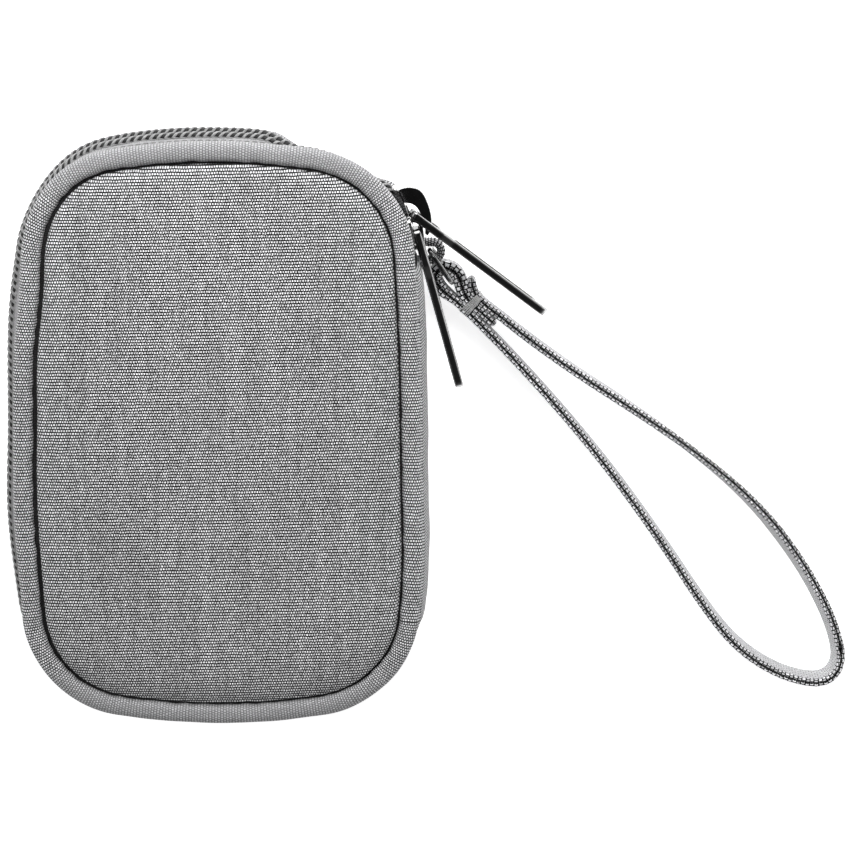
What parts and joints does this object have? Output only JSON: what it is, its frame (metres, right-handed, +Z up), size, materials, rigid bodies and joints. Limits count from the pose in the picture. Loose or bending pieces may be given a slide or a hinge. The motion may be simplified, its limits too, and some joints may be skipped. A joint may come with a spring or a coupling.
{
  "type": "cable organizer pouch",
  "caption": "Zipped hard-foam pouch for cables with woven grey panels, two zipper sliders with slim pulls, and a wrist strap on a ring.",
  "frame": {"origin": "centre of the flat rest area of the back panel, the pouch lying closed on its back", "axes": "+X across the case towards its hinge side, where the strap is; +Y along its length towards the zippered top; +Z up through the front panel"},
  "size_m": [0.2125, 0.1466, 0.0388],
  "materials": {
    "case_fabric": "ribbed melange weave",
    "binding_fabric": "ribbed melange weave, folded",
    "gusset_fabric": "ribbed melange weave",
    "lining_fabric": "plain knitted lining",
    "foam": "closed-cell foam sheet",
    "zipper_tape": "woven tape with stitch rows",
    "zipper_coil": "nylon coil",
    "zipper_stop": "moulded stop",
    "elastic": "woven elastic",
    "mesh": "open knitted mesh",
    "tab_webbing": "grosgrain ribbon",
    "ring_wire": "black nickel wire",
    "strap_webbing": "flat woven cord",
    "bartack_thread": "dense thread stitching",
    "slider_metal": "glossy gunmetal plate",
    "pull_metal": "glossy gunmetal plate"
  },
  "bodies": {
    "back_shell": {"back_panel": "case_fabric", "back_foam": "foam", "back_lining": "lining_fabric", "back_binding": "binding_fabric", "back_zip_tape": "zipper_tape", "back_coil": "zipper_coil", "hinge_strip_back": "gusset_fabric", "cable_loops_upper": "elastic", "cable_loops_lower": "elastic", "zip_end_stops": "zipper_stop", "zip_chain_end": "zipper_coil", "strap_tab": "tab_webbing"},
    "front_shell": {"front_panel": "case_fabric", "front_foam": "foam", "front_lining": "lining_fabric", "front_binding": "binding_fabric", "front_zip_tape": "zipper_tape", "front_coil": "zipper_coil", "hinge_strip_front": "gusset_fabric", "mesh_pocket": "mesh", "mesh_pocket_elastic": "elastic"},
    "slider_a": {"slider_a_body": "slider_metal", "slider_a_crown": "slider_metal", "slider_a_spring": "slider_metal"},
    "pull_a": {"slider_a_pull": "pull_metal"},
    "slider_b": {"slider_b_body": "slider_metal", "slider_b_crown": "slider_metal", "slider_b_spring": "slider_metal"},
    "pull_b": {"slider_b_pull": "pull_metal"},
    "strap": {"strap_ring": "ring_wire", "wrist_strap": "strap_webbing", "strap_bartack": "bartack_thread"}
  },
  "joints": [
    {"name": "lid_hinge", "type": "hinge", "parent": "back_shell", "child": "front_shell", "pos_m": [0.0509, 0, 0.021], "axis": [0, 1, 0], "range_deg": [0, 90]},
    {"name": "slider_b_travel", "type": "hinge", "parent": "back_shell", "child": "slider_b", "pos_m": [0.01901, 0.04411, 0.0195], "axis": [0, 0, 1], "range_deg": [0, 22]},
    {"name": "slider_a_travel", "type": "hinge", "parent": "slider_b", "child": "slider_a", "pos_m": [0.01901, 0.04411, 0.0195], "axis": [0, 0, 1], "range_deg": [0, 19]},
    {"name": "pull_a_swing", "type": "hinge", "parent": "slider_a", "child": "pull_a", "pos_m": [0.04831, 0.05329, 0.0195], "axis": [0, 0, 1], "range_deg": [-5, 110]},
    {"name": "pull_b_swing", "type": "hinge", "parent": "slider_b", "child": "pull_b", "pos_m": [0.04915, 0.0491, 0.0195], "axis": [0, 0, 1], "range_deg": [-1, 25]},
    {"name": "strap_swing", "type": "hinge", "parent": "back_shell", "child": "strap", "pos_m": [0.0524, 0.0429, 0.0072], "axis": [0, 0, 1], "range_deg": [0, 30]}
  ]
}
